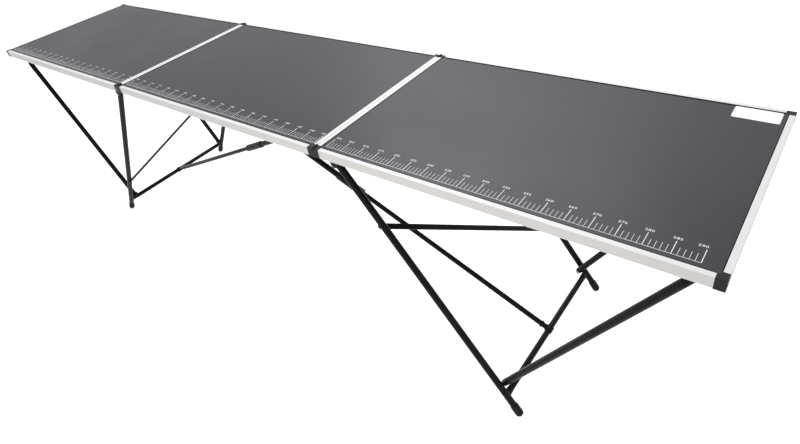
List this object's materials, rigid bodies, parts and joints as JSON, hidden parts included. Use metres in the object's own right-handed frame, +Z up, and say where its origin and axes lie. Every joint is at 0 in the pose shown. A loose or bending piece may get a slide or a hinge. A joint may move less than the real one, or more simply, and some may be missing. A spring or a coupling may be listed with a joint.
{
  "type": "folding trestle table",
  "caption": "Long folding trestle table with three dark boards in aluminium rails on two splayed black tube trestles with telescopic struts.",
  "frame": {"origin": "on the floor under the middle of the table, at the bottom centre of its box", "axes": "+X along the table to the right, +Y to the back, +Z up"},
  "size_m": [2.94, 0.6, 0.7788],
  "materials": {
    "board_laminate": "anthracite laminate over fibreboard, fine satin sheen",
    "edge_aluminium": "extruded, satin anodised",
    "corner_plastic": "moulded, fine grain",
    "black_powder_coat": "black powder coat, satin",
    "foot_rubber": "moulded, matte",
    "collar_plastic": "moulded, satin",
    "rivet_steel": "zinc-plated"
  },
  "bodies": {
    "left_trestle": {"left_crossbar": "black_powder_coat", "left_diagonal_strip": "black_powder_coat", "left_front_foot": "foot_rubber", "left_front_leg": "black_powder_coat", "left_rear_foot": "foot_rubber", "left_rear_leg": "black_powder_coat"},
    "left_front_brace": {"left_front_brace": "black_powder_coat"},
    "left_panel": {"left_front_brace_bracket": "black_powder_coat", "left_front_leg_bracket": "black_powder_coat", "left_panel_board": "board_laminate", "left_panel_front_end_block": "corner_plastic", "left_panel_front_hinge_block": "corner_plastic", "left_panel_front_rail": "edge_aluminium", "left_panel_left_rail": "edge_aluminium", "left_panel_rear_end_block": "corner_plastic", "left_panel_rear_hinge_block": "corner_plastic", "left_panel_rear_rail": "edge_aluminium", "left_panel_right_rail": "edge_aluminium", "left_rear_brace_bracket": "black_powder_coat", "left_rear_leg_bracket": "black_powder_coat"},
    "left_rear_brace": {"left_rear_brace": "black_powder_coat"},
    "left_strut_collar": {"left_strut_collar": "collar_plastic"},
    "left_strut_rod": {"left_strut_rod": "black_powder_coat"},
    "middle_panel": {"left_strut_socket": "corner_plastic", "middle_board": "board_laminate", "middle_front_left_block": "corner_plastic", "middle_front_rail": "edge_aluminium", "middle_front_right_block": "corner_plastic", "middle_left_rail": "edge_aluminium", "middle_rear_left_block": "corner_plastic", "middle_rear_rail": "edge_aluminium", "middle_rear_right_block": "corner_plastic", "middle_right_rail": "edge_aluminium", "right_strut_socket": "corner_plastic"},
    "left_strut_tube": {"left_strut_tube": "black_powder_coat"},
    "right_trestle": {"right_crossbar": "black_powder_coat", "right_diagonal_strip": "black_powder_coat", "right_front_foot": "foot_rubber", "right_front_leg": "black_powder_coat", "right_rear_foot": "foot_rubber", "right_rear_leg": "black_powder_coat"},
    "right_front_brace": {"right_front_brace": "black_powder_coat"},
    "right_panel": {"right_front_brace_bracket": "black_powder_coat", "right_front_leg_bracket": "black_powder_coat", "right_panel_board": "board_laminate", "right_panel_front_end_block": "corner_plastic", "right_panel_front_hinge_block": "corner_plastic", "right_panel_front_rail": "edge_aluminium", "right_panel_left_rail": "edge_aluminium", "right_panel_rear_end_block": "corner_plastic", "right_panel_rear_hinge_block": "corner_plastic", "right_panel_rear_rail": "edge_aluminium", "right_panel_right_rail": "edge_aluminium", "right_rear_brace_bracket": "black_powder_coat", "right_rear_leg_bracket": "black_powder_coat"},
    "right_rear_brace": {"right_rear_brace": "black_powder_coat"},
    "right_strut_collar": {"right_strut_collar": "collar_plastic"},
    "right_strut_rod": {"right_strut_rod": "black_powder_coat"},
    "right_strut_tube": {"right_strut_tube": "black_powder_coat"}
  },
  "joints": [
    {"name": "right_panel_fold", "type": "hinge", "parent": "middle_panel", "child": "right_panel", "pos_m": [0.496, 0, 0.7756], "axis": [0, -1, 0], "range_deg": [0, 180]},
    {"name": "right_leg_fold", "type": "hinge", "parent": "right_panel", "child": "right_trestle", "pos_m": [0.549, 0, 0.733], "axis": [0, 1, 0], "range_deg": [0, 62]},
    {"name": "right_front_brace_fold", "type": "hinge", "parent": "right_trestle", "child": "right_front_brace", "pos_m": [0.99892, 0, 0.088], "axis": [0, 1, 0], "range_deg": [-65.5, 0]},
    {"name": "right_rear_brace_fold", "type": "hinge", "parent": "right_trestle", "child": "right_rear_brace", "pos_m": [0.99892, 0, 0.088], "axis": [0, 1, 0], "range_deg": [-65.5, 0]},
    {"name": "right_strut_swing", "type": "hinge", "parent": "right_trestle", "child": "right_strut_rod", "pos_m": [1.01426, 0, 0.066], "axis": [0, 1, 0], "range_deg": [-36, 0]},
    {"name": "right_strut_slide", "type": "slide", "parent": "right_strut_rod", "child": "right_strut_tube", "axis": [0.9138, 0.0101, -0.4059], "range_m": [0, 0.72]},
    {"name": "right_collar_twist", "type": "hinge", "parent": "right_strut_tube", "child": "right_strut_collar", "pos_m": [1.01426, -0.004, 0.066], "axis": [-0.9138, -0.0101, 0.4059], "range_deg": [0, 90]},
    {"name": "left_panel_fold", "type": "hinge", "parent": "middle_panel", "child": "left_panel", "pos_m": [-0.496, 0, 0.7756], "axis": [0, -1, 0], "range_deg": [-180, 0]},
    {"name": "left_leg_fold", "type": "hinge", "parent": "left_panel", "child": "left_trestle", "pos_m": [-0.549, 0, 0.733], "axis": [0, 1, 0], "range_deg": [-62, 0]},
    {"name": "left_front_brace_fold", "type": "hinge", "parent": "left_trestle", "child": "left_front_brace", "pos_m": [-0.99892, 0, 0.088], "axis": [0, 1, 0], "range_deg": [0, 65.5]},
    {"name": "left_rear_brace_fold", "type": "hinge", "parent": "left_trestle", "child": "left_rear_brace", "pos_m": [-0.99892, 0, 0.088], "axis": [0, 1, 0], "range_deg": [0, 65.5]},
    {"name": "left_strut_swing", "type": "hinge", "parent": "left_trestle", "child": "left_strut_rod", "pos_m": [-1.01426, 0, 0.066], "axis": [0, 1, 0], "range_deg": [0, 36]},
    {"name": "left_strut_slide", "type": "slide", "parent": "left_strut_rod", "child": "left_strut_tube", "axis": [0.9138, 0.0101, 0.4059], "range_m": [-0.72, 0]},
    {"name": "left_collar_twist", "type": "hinge", "parent": "left_strut_tube", "child": "left_strut_collar", "pos_m": [-1.01426, 0.004, 0.066], "axis": [0.9138, 0.0101, 0.4059], "range_deg": [-90, 0]}
  ],
  "couplings": [
    {"joint": "right_front_brace_fold", "follows": "right_leg_fold", "ratio": -1.05},
    {"joint": "right_rear_brace_fold", "follows": "right_leg_fold", "ratio": -1.05},
    {"joint": "right_strut_swing", "follows": "right_leg_fold", "ratio": -0.5718},
    {"joint": "right_strut_slide", "follows": "right_leg_fold", "m_per_rad": 0.66},
    {"joint": "left_front_brace_fold", "follows": "left_leg_fold", "ratio": -1.05},
    {"joint": "left_rear_brace_fold", "follows": "left_leg_fold", "ratio": -1.05},
    {"joint": "left_strut_swing", "follows": "left_leg_fold", "ratio": -0.5718},
    {"joint": "left_strut_slide", "follows": "left_leg_fold", "m_per_rad": 0.66}
  ]
}
